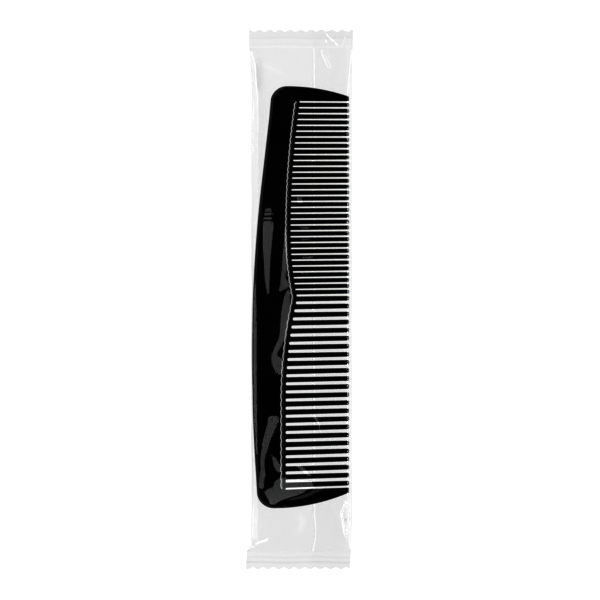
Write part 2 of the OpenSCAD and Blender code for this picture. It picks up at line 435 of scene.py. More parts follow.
@dataclass(frozen=True)
class CombPlan:
    """Outline and tooth layout of the comb in millimetres, about its own middle."""

    length: float = 127.0
    back_x: float = -14.5
    tips_x: float = 14.75
    back_thick: float = 2.8
    root_thick: float = 2.1
    tip_thick: float = 1.2
    web_w: float = 1.35
    fine_gaps: int = 34
    fine_pitch: float = 1.76
    fine_gap: float = 0.5
    coarse_gaps: int = 24
    coarse_pitch: float = 2.43
    coarse_gap: float = 0.95
    gap_taper: float = 0.15
    first_gap_y: float = 58.75
    fine_lean: float = -0.15
    coarse_lean: float = 1.85
    widest_y: float = -17.1
    upper_back_r: float = 452.0
    lower_back_r: float = 527.0
    straight_y: float = 35.3
    end_bow_r: float = 57.0
    fine_corner: Point = (-3.9, 58.5, 5.0)
    coarse_corner: Point = (-7.9, -58.4, 5.1)
    fine_hollow: tuple[float, float] = (-2.92, 19.6)
    peak: tuple[float, float] = (-0.93, -0.25)
    coarse_flat: tuple[float, float] = (-4.34, -31.0)
    first_root_x: float = -0.15
    pitch_line_x: float = 6.5
    wide_tooth_spare: float = 0.13

    @property
    def last_fine_y(self) -> float:
        """Place of the last fine gap."""
        return self.first_gap_y - (self.fine_gaps - 1) * self.fine_pitch

    @property
    def coarse_first_y(self) -> float:
        """Place of the first coarse gap, past the wide tooth between the halves."""
        return self.last_fine_y - (self.fine_pitch + self.coarse_pitch) / 2 - self.wide_tooth_spare

    @property
    def last_gap_y(self) -> float:
        """Place of the last coarse gap."""
        return self.coarse_first_y - (self.coarse_gaps - 1) * self.coarse_pitch

    def back_curve(self, y: float) -> float:
        """Follows the curved back, which runs straight near the fine end.

        Args:
            y: a height on the comb.

        Returns:
            x of the back.
        """
        radius = self.lower_back_r if y < self.widest_y else self.upper_back_r
        top = min(y, self.straight_y)
        sag = radius - math.sqrt(radius**2 - (top - self.widest_y) ** 2)
        slope = (self.straight_y - self.widest_y) / self.upper_back_r
        return self.back_x + sag + max(0.0, y - self.straight_y) * slope

    def corner(self, end: End) -> Point:
        """Gives the centre and the radius of the back's corner at one end."""
        return self.fine_corner if end is End.FINE else self.coarse_corner

    def bow(self, end: End, x: float) -> float:
        """Gives y of the bowed end edge at x."""
        sag = self.end_bow_r - math.sqrt(self.end_bow_r**2 - (x - self.corner(end)[0]) ** 2)
        return end.value * (self.length / 2 - sag)

    def root_x(self, y: float) -> float:
        """Follows the closed ends of the gaps: three parabolas, then a straight line.

        Args:
            y: a height on the comb.

        Returns:
            x at which the gaps end.
        """
        if y <= self.coarse_flat[1]:
            return self.coarse_flat[0]
        if y > self.fine_hollow[1]:
            low, high = self.fine_hollow, (self.first_root_x, self.first_gap_y)
        elif y > self.peak[1]:
            low, high = self.fine_hollow, self.peak
        else:
            low, high = self.coarse_flat, self.peak
        return low[0] + (high[0] - low[0]) * ((y - low[1]) / (high[1] - low[1])) ** 2

    def lean(self, y: float) -> float:
        """Gives a tooth's slope at a height y, as the rise in y for each millimetre of x."""
        share = (y - self.last_gap_y) / (self.first_gap_y - self.last_gap_y)
        return math.tan(math.radians(self.coarse_lean + (self.fine_lean - self.coarse_lean) * share))

    def half_thick(self, x: float) -> float:
        """Gives half the thickness of the back and the guards at x."""
        taper = max(0.0, (x - self.coarse_flat[0]) / (self.tips_x - self.coarse_flat[0]))
        return self.back_thick / 2 - (self.back_thick - self.tip_thick - 0.2) / 2 * taper

    def teeth(self, end: End) -> list[tuple[float, float, float]]:
        """Lays out the teeth of one half, from the fine end down.

        Args:
            end: the half.

        Returns:
            The height of the middle line, the pitch and the gap of each tooth.
        """
        if end is End.FINE:
            ys = [self.first_gap_y - (i + 0.5) * self.fine_pitch for i in range(self.fine_gaps - 1)]
            return [(y, self.fine_pitch, self.fine_gap) for y in ys]
        ys = [(self.last_fine_y + self.coarse_first_y) / 2]
        ys += [self.coarse_first_y - (i + 0.5) * self.coarse_pitch for i in range(self.coarse_gaps - 1)]
        return [(y, self.coarse_pitch, self.coarse_gap) for y in ys]


@dataclass(frozen=True)
class Rim:
    """How the edge of the moulding is rounded: its reach inwards, its drop, and how full the curve is."""

    reach: float
    drop: float
    full: float

    def toward(self, other: "Rim", share: float) -> "Rim":
        """Blends two rims.

        Args:
            other: the rim at the far end.
            share: how far along it is.

        Returns:
            The rim in between.
        """
        t = min(max(share, 0.0), 1.0)
        pairs = ((self.reach, other.reach), (self.drop, other.drop), (self.full, other.full))
        return Rim(*(a + (b - a) * t for a, b in pairs))

    def at(self, share: float) -> tuple[float, float]:
        """Follows the rounding from the wall to the face.

        Args:
            share: 0 at the wall, 1 where it meets the face.

        Returns:
            The inset from the outline and the drop below the face.
        """
        angle = share * math.pi / 2
        power = 2 / self.full
        inset = self.reach * (1 - math.cos(angle) ** power)
        return inset, self.drop * (1 - math.sin(angle) ** power)


EdgePoint = tuple[float, float, Rim]


@dataclass
class Comb:
    """The moulded comb: back, end guards and both rows of teeth."""

    plan: CombPlan
    plastic: bpy.types.Material
    rim_steps: int = 7
    back_rim: Rim = Rim(0.75, 0.9, 2.0)
    tip_rim: Rim = Rim(0.35, 0.42, 2.0)
    gap_rim: Rim = Rim(0.2, 0.3, 2.0)
    step_rim: Rim = Rim(0.39, 0.205, 1.0)
    scallop: float = 0.28
    fuller: float = 0.045
    section_points: int = 18
    crown_full: float = 2.9
    guard_r: float = 0.35
    gap_r: float = 0.3
    step_turn: float = 0.7
    tooth_r: float = 0.36
    tooth_full: float = 0.8
    guard_cut: float = 0.35
    web_under: float = 0.3
    web_round: float = 0.12

    def __post_init__(self) -> None:
        """Reads the comb's place from its CAD node."""
        low, high = mm_box("spine")
        self.middle = Vector((0.0, (low.y + high.y) / 2, (low.z + high.z) / 2))

    def build(self) -> None:
        """Builds all the comb's pieces."""
        self.build_back()
        self.build_teeth(End.FINE, "fine_teeth")
        self.build_teeth(End.COARSE, "coarse_teeth")

    # -- outline

    def step_x(self, y: float) -> float:
        """Gives x of the step in the face beside the tooth roots, at a height y."""
        return self.plan.root_x(y) - self.plan.web_w + self.step_rim.reach

    def gap_side(self, end: End) -> float:
        """Gives the height at which an end guard meets its first gap."""
        plan, fine = self.plan, end is End.FINE
        return plan.first_gap_y + plan.fine_gap / 2 if fine else plan.last_gap_y - plan.coarse_gap / 2

    def guard_y(self, y: float, x: float) -> float:
        """Gives the height of a guard's inner edge at x, for an edge that starts at y."""
        return y + (x - self.plan.root_x(y)) * self.plan.lean(y)

    def arc(self, corner: Point, start: float, stop: float, steps: int, rim: Rim) -> list[EdgePoint]:
        """Rounds a corner.

        Args:
            corner: x, y and radius of the corner.
            start: angle of its first point in degrees.
            stop: angle of its last point in degrees.
            steps: number of stretches.
            rim: its rim.

        Returns:
            The points between the first and the last, with their rims.
        """
        x, y, radius = corner
        turns = [math.radians(start + (stop - start) * i / steps) for i in range(1, steps)]
        return [(x + radius * math.cos(a), y + radius * math.sin(a), rim) for a in turns]

    def bow_edge(self, end: End, start: float, stop: float, steps: int = 24) -> list[EdgePoint]:
        """Follows a bowed end edge, whose rim thins from the back to the tips.

        Args:
            end: the end of the comb.
            start: x of the first point.
            stop: x of the last point.
            steps: number of stretches.

        Returns:
            The points with their rims.
        """
        plan, points = self.plan, []
        corner_x = plan.corner(end)[0]
        for i in range(steps + 1):
            x = start + (stop - start) * i / steps
            rim = self.back_rim.toward(self.tip_rim, (x - corner_x) / (plan.tips_x - corner_x))
            points.append((x, plan.bow(end, x), rim))
        return points

    def gap_edge(self, y: float, start: float, stop: float, steps: int = 12) -> list[EdgePoint]:
        """Gives the points of a guard's straight inner edge between two places along X."""
        xs = [start + (stop - start) * i / steps for i in range(steps + 1)]
        return [(x, self.guard_y(y, x), self.gap_rim) for x in xs]

    def step_end(self, y: float, side: int) -> list[EdgePoint]:
        """Rounds an end of the step off, from the guard to the step.

        Args:
            y: height of the end.
            side: 1 at the coarse end, -1 at the fine end.

        Returns:
            The points with their rims.
        """
        points, turn = [], self.step_turn
        for degrees in (0, 22, 45, 68):
            a = math.radians(degrees)
            x = self.step_x(y) + turn * (1 - math.sin(a))
            points.append((x, y + side * turn * (1 - math.cos(a)), self.step_rim))
        return points

    def step_edge(self, low: float, high: float) -> list[EdgePoint]:
        """Follows the scalloped step in the face beside the roots, with one hollow beside each tooth.

        Args:
            low: height of its end beside the coarse guard.
            high: height of its end beside the fine guard.

        Returns:
            The points with their rims, from the coarse end up.
        """
        plan, points = self.plan, self.step_end(low, 1)
        for y, pitch, _ in plan.teeth(End.COARSE)[::-1] + plan.teeth(End.FINE)[::-1]:
            middle = y + (self.step_x(y) - plan.pitch_line_x) * plan.lean(y)
            for share in (-0.5, -0.3, -0.1, 0.1, 0.3):
                at = middle + share * pitch
                if low + self.step_turn < at < high - self.step_turn:
                    notch = self.scallop * (1 - 4 * share * share)
                    points.append((self.step_x(at) - notch, at, self.step_rim))
        return points + self.step_end(high, -1)[::-1]

    def edge_points(self) -> list[EdgePoint]:
        """Lists the outline of the back with its guards, anticlockwise from the coarse end's corner.

        Returns:
            The points with their rims.
        """
        plan = self.plan
        lower, upper = self.gap_side(End.COARSE), self.gap_side(End.FINE)
        bow_x, gap_x = plan.tips_x - self.guard_r, plan.tips_x - self.gap_r
        low_tip = plan.bow(End.COARSE, bow_x) + self.guard_r
        high_tip = plan.bow(End.FINE, bow_x) - self.guard_r
        low_gap = self.guard_y(lower, plan.tips_x) - self.gap_r
        high_gap = self.guard_y(upper, plan.tips_x) + self.gap_r
        reach, count = 54, 36
        heights = [reach - 2 * reach * i / count for i in range(count + 1)]
        return [
            *self.bow_edge(End.COARSE, plan.coarse_corner[0], bow_x),
            *self.arc((bow_x, low_tip, self.guard_r), -75, 0, 4, self.tip_rim),
            *self.arc((gap_x, low_gap, self.gap_r), 0, 90, 5, self.tip_rim),
            *self.gap_edge(lower, gap_x, plan.root_x(lower)),
            *self.step_edge(lower, upper),
            *self.gap_edge(upper, plan.root_x(upper), gap_x),
            *self.arc((gap_x, high_gap, self.gap_r), -90, 0, 5, self.tip_rim),
            *self.arc((bow_x, high_tip, self.guard_r), 0, 71, 4, self.tip_rim),
            *self.bow_edge(End.FINE, bow_x, plan.fine_corner[0]),
            *self.arc(plan.fine_corner, 90, 173, 16, self.back_rim),
            *((plan.back_curve(y), y, self.back_rim) for y in heights),
            *self.arc(plan.coarse_corner, 186, 270, 16, self.back_rim),
        ]

    def build_back(self) -> None:
        """Builds the back with its thinner web, and cuts the two end guards off it as their own pieces."""
        edge = self.edge_points()
        flat = np.array([(x, y) for x, y, _ in edge])
        before = flat - np.roll(flat, 1, 0)
        after = np.roll(flat, -1, 0) - flat
        before /= np.linalg.norm(before, axis=1)[:, None]
        after /= np.linalg.norm(after, axis=1)[:, None]
        turned = np.stack([-(before + after)[:, 1], (before + after)[:, 0]], 1)
        inward = turned / (1 + (before * after).sum(1))[:, None].clip(0.4)

        def ring(share: float) -> list[Point]:
            """Moves the outline's points in and up by their rims.

            Args:
                share: how far round the rims the ring is.

            Returns:
                The ring's points.
            """
            points = []
            for (x, y, rim), normal in zip(edge, inward):
                inset, drop = rim.at(share)
                px, py = x + normal[0] * inset, y + normal[1] * inset
                points.append((px, py, self.plan.half_thick(px) - drop))
            return points

        middle = [(x, y, 0.0) for x, y, _ in edge]
        bm = bmesh.new()
        bottom, top = loft(bm, [middle] + [ring(i / self.rim_steps) for i in range(self.rim_steps + 1)])
        bmesh.ops.delete(bm, geom=[bottom], context="FACES_ONLY")
        for face in bm.faces:
            face.smooth = face is not top
        kink = self.plan.coarse_flat[0]
        bmesh.ops.bisect_plane(
            bm, geom=[top, *top.edges, *top.verts], dist=1e-5, plane_co=(kink, 0, 0), plane_no=(1, 0, 0))
        bmesh.ops.mirror(bm, geom=bm.verts[:] + bm.edges[:] + bm.faces[:], axis="Z", merge_dist=1e-4)
        bmesh.ops.recalc_face_normals(bm, faces=bm.faces)

        guards = []
        for end, node in ((End.FINE, "fine_end_guard"), (End.COARSE, "coarse_end_guard")):
            guard = bm.copy()
            x = self.plan.root_x(self.gap_side(end))
            near = self.gap_side(end) - end.value * self.guard_cut
            self.keep_side(guard, (0, near, 0), (0, end.value, 0))
            self.keep_side(guard, (x, 0, 0), (1, 0, 0))
            guards.append((node, guard))
            # the same part is taken off the back
            self.cut_block(bm, x, near, end)
        self.add_web(bm)
        self.place("comb_back", bm, "spine")
        for node, guard in guards:
            self.place(node + "_tooth", guard, node)

    def close(self, bm: bmesh.types.BMesh, rim: Sequence[bmesh.types.BMEdge]) -> None:
        """Closes the holes inside the given edges with flat faces."""
        for face in bmesh.ops.holes_fill(bm, edges=rim, sides=0)["faces"]:
            face.smooth = False

    def keep_side(self, bm: bmesh.types.BMesh, at: Point, normal: Point) -> None:
        """Cuts a closed mesh by a plane, keeps one side and closes the cut.

        Args:
            bm: the mesh.
            at: a point of the plane.
            normal: the way to the side that is kept.
        """
        geom = bm.verts[:] + bm.edges[:] + bm.faces[:]
        made = bmesh.ops.bisect_plane(
            bm, geom=geom, dist=1e-5, plane_co=at, plane_no=normal, clear_inner=True)["geom_cut"]
        self.close(bm, [g for g in made if isinstance(g, bmesh.types.BMEdge) and g.is_boundary])

    def cut_block(self, bm: bmesh.types.BMesh, x: float, y: float, end: End) -> None:
        """Takes a corner off the back and closes the cut.

        Args:
            bm: the back's mesh.
            x: everything to the right of it goes.
            y: everything beyond it goes.
            end: the end of the comb.
        """
        side = end.value
        for at, normal in (((0, y, 0), (0, 1, 0)), ((x, 0, 0), (1, 0, 0))):
            near = [f for f in bm.faces if max(v.co.y * side for v in f.verts) > y * side - 1e-4]
            geom = list(dict.fromkeys(part for f in near for part in (*f.verts, *f.edges))) + near
            bmesh.ops.bisect_plane(bm, geom=geom, dist=1e-5, plane_co=at, plane_no=normal)
        middles = [(f, f.calc_center_median()) for f in bm.faces]
        doomed = [f for f, middle in middles if middle.x > x and middle.y * side > y * side]
        bmesh.ops.delete(bm, geom=doomed, context="FACES")
        self.close(bm, [e for e in bm.edges if e.is_boundary])

    def add_web(self, bm: bmesh.types.BMesh) -> None:
        """Adds the thin web that closes the gaps, under the step and between the tooth roots.

        Args:
            bm: the back's mesh.
        """
        plan, past, back_lap = self.plan, 0.15, 0.8
        ys = np.linspace(self.gap_side(End.COARSE) - past, self.gap_side(End.FINE) + past, 90)
        half, small = plan.root_thick / 2 - self.web_under, self.web_round

        def strip(inset: float, z: float) -> list[Point]:
            """Draws the web's outline.

            Args:
                inset: how far it is moved in.
                z: its height.

            Returns:
                The outline's points.
            """
            right = [(plan.root_x(y) - inset, float(y), z) for y in ys]
            left = [(plan.root_x(y) - plan.web_w - back_lap + inset, float(y), z) for y in ys[::-1]]
            return right + left

        profile = [(small, -half), (0.0, -half + small), (0.0, half - small), (small, half)]
        loft(bm, [strip(inset, z) for inset, z in profile])

    def build_teeth(self, end: End, node: str) -> None:
        """Builds one row of teeth, each crowned on both faces and rounded at its tip.

        Args:
            end: the half that the row is on.
            node: its CAD node.
        """
        bm = bmesh.new()
        for y, pitch, gap in self.plan.teeth(end):
            self.add_tooth(bm, y, pitch, gap)
        bmesh.ops.recalc_face_normals(bm, faces=bm.faces)
        for face in bm.faces:
            face.smooth = True
        self.place(node + "_row", bm, node)

    def add_tooth(self, bm: bmesh.types.BMesh, y: float, pitch: float, gap: float) -> None:
        """Lofts one tooth from inside the step to its tip.

        Args:
            bm: the row's mesh.
            y: height of the tooth's middle line on the pitch line.
            pitch: distance to the next tooth.
            gap: width of the gap beside it at its closed end.
        """
        plan = self.plan
        slope = plan.lean(y)
        level = y + (plan.root_x(y) - plan.pitch_line_x) * slope
        ends = [plan.root_x(level + side * pitch / 2) for side in (-1, 1)]
        root = min(ends)
        wide = (pitch - gap) / 2 + self.fuller
        tip = wide - plan.gap_taper / 2
        long = plan.tips_x - root
        thick, thin = plan.root_thick / 2, plan.tip_thick / 2

        def half_width(x: float, gap_end: float) -> float:
            """Follows one flank, with the fillet at the gap's end.

            Args:
                x: a place along the tooth.
                gap_end: x at which the gap on that side ends.

            Returns:
                The half-width at x on that side.
            """
            flank = wide + (tip - wide) * max(0.0, x - root) / long
            widths = (pitch / 2 - 0.01, pitch / 2 - 0.02, flank + gap * 0.3, flank + gap * 0.1, flank)
            return float(np.interp(x - gap_end, (-0.55, -0.2, 0.0, 0.14, 0.35), widths))

        stations = [(root - plan.web_w - 0.35, thick + 0.02, 1.0), (root - 0.55, thick + 0.02, 1.0)]
        for x in sorted(gap_end + along for gap_end in ends for along in (-0.2, 0.0, 0.14, 0.35)):
            if x > stations[-1][0] + 0.03:
                stations.append((x, thick, 1.0))
        for share in (0.2, 0.4, 0.6, 0.8):
            stations.append((root + long * share, thick + (thin - thick) * share, 1.0))
        for angle in (0, 25, 45, 62, 76, 86):
            a = math.radians(angle)
            x = plan.tips_x - self.tooth_r + self.tooth_r * math.sin(a)
            stations.append((x, thin, math.cos(a) ** self.tooth_full))
        count, power = self.section_points, 2 / self.crown_full
        rings = []
        for x, half_h, size in stations:
            lower, upper = (half_width(x, gap_end) * size for gap_end in ends)
            half_h *= size
            middle = y + (x - plan.pitch_line_x) * slope
            ring = []
            for i in range(count):
                a = 2 * math.pi * (i + 0.5) / count
                c, s = math.cos(a), math.sin(a)
                half_w = upper if c > 0 else lower
                across = math.copysign(abs(c) ** power, c)
                up = math.copysign(abs(s) ** power, s)
                ring.append((x, middle + half_w * across, half_h * up))
            rings.append(ring)
        loft(bm, rings)

    def place(self, name: str, bm: bmesh.types.BMesh, node: str) -> None:
        """Moves a mesh from the comb's own middle to its place and makes the piece."""
        bmesh.ops.translate(bm, vec=self.middle, verts=bm.verts)
        make_piece(name, bm, Body.COMB, node, self.plastic)


# ---------------------------------------------------------------- the sachet


@dataclass(frozen=True)
class Crease:
    """A ridge pressed into the film along a line, with a reach of its own on each side."""

    path: Line
    height: float
    left: float
    right: float
    fade: float = 0.25

    def lift(self, x: Array, y: Array) -> Array:
        """Works out what the crease adds.

        Args:
            x: x of each place.
            y: y of each place.

        Returns:
            The height that it adds at each place.
        """
        points = np.array(self.path, float)
        lengths = np.linalg.norm(np.diff(points, axis=0), axis=1)
        total, walked = lengths.sum(), 0.0
        best = np.full(x.shape, 1e9)
        side, along = np.zeros(x.shape), np.zeros(x.shape)
        for (x0, y0), (x1, y1), length in zip(points[:-1], points[1:], lengths):
            dx, dy = (x1 - x0) / length, (y1 - y0) / length
            t = np.clip((x - x0) * dx + (y - y0) * dy, 0, length)
            away = np.hypot(x - x0 - t * dx, y - y0 - t * dy)
            cross = (y - y0) * dx - (x - x0) * dy
            closer = away < best
            best = np.where(closer, away, best)
            side = np.where(closer, cross, side)
            along = np.where(closer, (walked + t) / total, along)
            walked += length
        reach = np.where(side > 0, self.left, self.right)
        ends = smooth_step(along / self.fade) * smooth_step((1 - along) / self.fade)
        return self.height * ends * np.clip(1 - best / reach, 0, 1)


@dataclass(frozen=True)
class Facet:
    """A flat place in the draped film that leans toward -X, between two edges that wander down it.

    Each station is y, the left edge and the right edge, from the fine end down. The film falls back
    over the run to the right of it.
    """

    stations: tuple[Point, ...]
    run: float
    lean: float = 6.8
    fades: tuple[float, float] = (1.0, 1.0)
    spare: float = 0.15

    def lift(self, x: Array, y: Array) -> Array:
        """Works out what the facet adds.

        Args:
            x: x of each place.
            y: y of each place.

        Returns:
            The height that it adds at each place.
        """
        ys, lefts, rights = np.array(self.stations[::-1]).T
        left = np.interp(y, ys, lefts) - self.spare
        right = np.interp(y, ys, rights) + self.spare
        begin = smooth_step((ys[-1] - y) / self.fades[0])
        finish = smooth_step((y - ys[0]) / self.fades[1])
        rise = np.clip(x - left, 0, right - left) * math.tan(math.radians(self.lean))
        return rise * begin * finish * np.clip(1 - (x - right) / self.run, 0, 1)


@dataclass(frozen=True)
class Fold:
    """A side fold of the web: its x along the comb, its side, where it widens towards each end seal, and
    its waves, each with a height, a length and a phase.
    """

    x: float
    side: int
    fine_from: float
    coarse_from: float
    waves: tuple[Point, Point]


@dataclass(frozen=True)
class SachetPlan:
    """Sizes of the sachet in millimetres."""

    seal_w: float = 31.2
    seal_len: float = 5.4
    skew: float = 0.3
    left: Fold = Fold(-14.6, -1, 66.5, 73.4, ((0.05, 4.6, 1.0), (0.03, 2.1, 0.0)))
    right: Fold = Fold(15.6, 1, 68.0, 68.0, ((0.06, 5.3, 0.0), (0.05, 1.7, 2.0)))
    front_w: float = 36.5
    back_left_w: float = 19.8
    back_right_w: float = 12.5
    fin_x: float = 3.72
    fin_w: float = 10.0
    fin_wave: float = 0.03
    fin_bulge: Point = (0.45, -69.5, 3.4)
    fin_pull: Point = (-0.35, -72.0, 3.5)
    fold_drop: float = 0.7
    tube_end: float = 68.4
    slack: float = 0.16
    right_slack: float = 0.4
    travel: tuple[float, float] = (-5.5, 4.0)
    wrinkle_h: tuple[float, float, float, float] = (0.04, 0.07, 0.006, 0.018)
    # Extra layers that paint shade: a dark line along each side fold, partly standing for the film's turn
    # there, a darker coarse end, and a darker band beside the left fold at the fine end.
    left_fold_painted_shade: float = 1.3
    right_fold_painted_shade: float = 0.7
    coarse_painted_shade: float = 0.35
    left_painted_shade: float = 0.3
    # Extra layers beside each tooth tip that paint a grey sheen over the tips.
    tip_sheen_layers: float = 3.0
    ridges: int = 3
    ridge_h: float = 0.07
    point_w: float = 3.12
    point_h: float = 0.6
    left_crease: Line = (
        (-75.8, -15.9), (-74.0, -14.2), (-72.5, -12.7), (-63.0, -12.6), (-60.0, -12.9), (-56.0, -13.6),
        (-45.0, -14.1), (-17.0, -14.3), (0.0, -14.2), (16.0, -13.7), (28.0, -12.9), (37.0, -12.5),
        (44.0, -13.0), (59.0, -13.0), (61.6, -13.26), (64.6, -13.63), (69.0, -13.9), (73.0, -14.4),
        (75.8, -15.2))
    right_crease: Line = (
        (-75.8, 15.4), (-70.5, 14.2), (-66.0, 14.6), (-60.0, 14.3), (60.0, 14.3), (64.0, 14.6),
        (69.5, 15.0), (75.8, 15.8))


@dataclass
class Sachet:
    """The flow-wrap sachet: front, backs, fin seal and crimped end seals of one web of film."""

    plan: SachetPlan
    comb: Comb
    film: bpy.types.Material
    fin: bpy.types.Material
    seal: bpy.types.Material
    front_cells: tuple[int, ...] = (10, 14, 44, 62, 10)
    along: int = 600
    under_along: int = 240
    comb_end: float = 62.0

    def __post_init__(self) -> None:
        """Reads the sachet's height and length from its CAD nodes."""
        self.mid_z = self.comb.middle.z
        self.seal_y = mm_box("fine_end_seal")[0].y
        self.cut_y = mm_box("fine_end_seal")[1].y

    def build(self) -> None:
        """Builds all the sachet's pieces."""
        seals = [self.build_seal(End.FINE, "fine_end_seal"), self.build_seal(End.COARSE, "coarse_end_seal")]
        self.build_front()
        self.build_back_left()
        self.build_back_right()
        self.build_fin()

    # -- shared lines of the web

    def opening(self, y: Array) -> Array:
        """How far open the tube is at y: 1 round the comb, 0 at the end seals."""
        return smooth_step((self.seal_y - np.abs(y)) / (self.seal_y - self.plan.tube_end))

    def fold_x(self, fold: Fold, y: Array) -> Array:
        """Follows a side fold, where front and back meet.

        Args:
            fold: the fold.
            y: y of each place.

        Returns:
            x of the fold at each place.
        """
        plan = self.plan
        fine, coarse = (skew + fold.side * plan.seal_w / 2 for skew in (plan.skew, -plan.skew))
        swing = smooth_step((y - fold.fine_from) / (self.seal_y - fold.fine_from))
        tuck = smooth_step((-y - fold.coarse_from) / (self.seal_y - fold.coarse_from))
        x = fold.x + (fine - fold.x) * swing + (coarse - fold.x) * tuck
        wave = sum(height * np.sin(y / length + phase) for height, length, phase in fold.waves)
        return x + wave * self.opening(y)

    def fin_fold(self, y: Array) -> Array:
        """Follows the fold at the root of the fin seal, which bends beyond the comb's coarse end.

        Args:
            y: y of each place.

        Returns:
            x of the fold at each place.
        """
        bulge, at, width = self.plan.fin_bulge
        pull, start, run = self.plan.fin_pull
        bend = bulge * hump((y - at) / width) + pull * smooth_step((start - y) / run)
        return self.plan.fin_x + self.plan.fin_wave * np.sin(y / 7.0) + bend

    def fold_z(self, y: Array) -> Array:
        """Height of the side folds."""
        return self.mid_z - self.plan.fold_drop * self.opening(y)

    def sealed(self, y: Array, reach: float) -> Array:
        """How free the film is at y: 0 at the end seals, 1 from reach away from them."""
        return smooth_step((self.seal_y - np.abs(y)) / reach)

    def wrinkles(self, x: Array, y: Array, seed: float) -> Array:
        """Makes the loose undulation of the film, stronger beyond the ends of the comb.

        Args:
            x: x of each place.
            y: y of each place.
            seed: picks the pattern.

        Returns:
            The height at each place.
        """
        slow = np.array([noise.noise((px / 9 + seed, py / 13, seed)) for px, py in zip(x, y)])
        quick = np.array([noise.noise((px / 3.1, py / 4.2 + seed, seed + 7)) for px, py in zip(x, y)])
        loose = smooth_step((np.abs(y) - self.comb_end) / 5) * smooth_step((self.cut_y - 3 - np.abs(y)) / 4)
        slow_taut, slow_loose, quick_taut, quick_loose = self.plan.wrinkle_h
        return slow * (slow_taut + slow_loose * loose) + quick * (quick_taut + quick_loose * loose)

    def comb_edge(self, y: Array) -> Array:
        """Finds how far to the left the comb's back comes anywhere in its travel.

        Args:
            y: y of each place.

        Returns:
            The lowest x of the back at each place.
        """
        reach, straight_end = [], 60.5
        for travel in (self.plan.travel[0], 0.0, self.plan.travel[1]):
            own = np.clip(y - self.comb.middle.y - travel, -straight_end, straight_end)
            reach.append(np.array([self.comb.plan.back_curve(v) for v in own]))
        return np.min(reach, axis=0)

    # -- the front

    def facets(self) -> list[Facet]:
        """Lists the flat places of the film that lean, from the fine end down.

        Returns:
            Those along the back's edge, over the back, over the teeth and beyond the comb.
        """
        edge = Facet(
            ((8.0, -13.6, -13.4), (0.0, -13.75, -13.2), (-10.0, -13.85, -13.0), (-24.0, -13.85, -12.95),
             (-34.0, -13.65, -12.95), (-44.0, -13.2, -12.8), (-50.0, -12.8, -12.6)),
            2.2, 7.0, (6.0, 5.0), 0.05)
        short = (0.2, 0.2)
        over_back = [
            Facet(((27.4, -10.3, -8.9), (26.6, -10.5, -8.3)), 2.5, fades=short),
            Facet(((26.1, -10.6, -8.0), (25.3, -10.8, -8.1)), 2.5, fades=short),
            Facet(((24.8, -10.8, -8.0), (24.1, -10.8, -8.0)), 2.5, fades=short),
            Facet(((23.7, -10.7, -8.0), (22.0, -10.85, -8.0), (15.8, -11.0, -8.6), (10.4, -10.6, -9.1),
                   (5.3, -10.3, -9.3), (1.2, -9.6, -9.35)), 3.2, fades=(0.5, 0.8)),
            Facet(((22.4, -4.9, -4.4), (16.4, -4.85, -4.0), (9.3, -5.4, -4.0), (6.2, -5.6, -4.4),
                   (4.8, -5.8, -3.3), (3.6, -6.0, -3.3), (2.2, -7.1, -6.4)), 4.0, fades=(2.0, 0.5)),
            Facet(((3.4, -3.7, -3.1), (-0.2, -4.9, -3.0), (-5.6, -5.7, -3.6), (-8.6, -5.7, -4.0),
                   (-11.6, -6.1, -4.6), (-13.7, -7.2, -5.6), (-16.6, -8.3, -7.1), (-17.9, -8.4, -5.4),
                   (-20.4, -8.0, -5.4), (-22.9, -6.3, -5.6)), 4.5, fades=(0.8, 0.8)),
            Facet(((-34.8, -9.2, -6.3), (-37.5, -9.6, -6.9), (-39.9, -10.4, -7.8), (-42.5, -11.2, -9.0),
                   (-47.5, -11.85, -10.6), (-50.5, -11.6, -10.9), (-52.6, -11.9, -10.3),
                   (-54.6, -12.0, -11.0), (-57.2, -12.2, -10.9)), 3.0, fades=(0.6, 0.8)),
            Facet(((-35.6, -7.2, -4.9), (-37.5, -6.2, -4.6), (-40.5, -5.2, -4.6)), 1.5, fades=(0.8, 1.5)),
            Facet(((-45.4, -9.2, -8.6), (-47.2, -8.8, -7.5), (-49.6, -8.0, -5.9), (-52.4, -6.7, -5.7)), 2.0),
            Facet(((-53.4, -5.9, -4.8), (-54.2, -6.9, 3.6), (-56.4, -8.9, 4.6), (-57.9, -10.8, 1.8),
                   (-59.3, -9.9, -1.0), (-60.5, -9.2, -5.6), (-61.8, -8.9, -8.0)), 4.0, 5.6, (0.4, 0.4)),
        ]
        faint, half, sharp = 5.2, (0.5, 0.5), (0.4, 0.4)
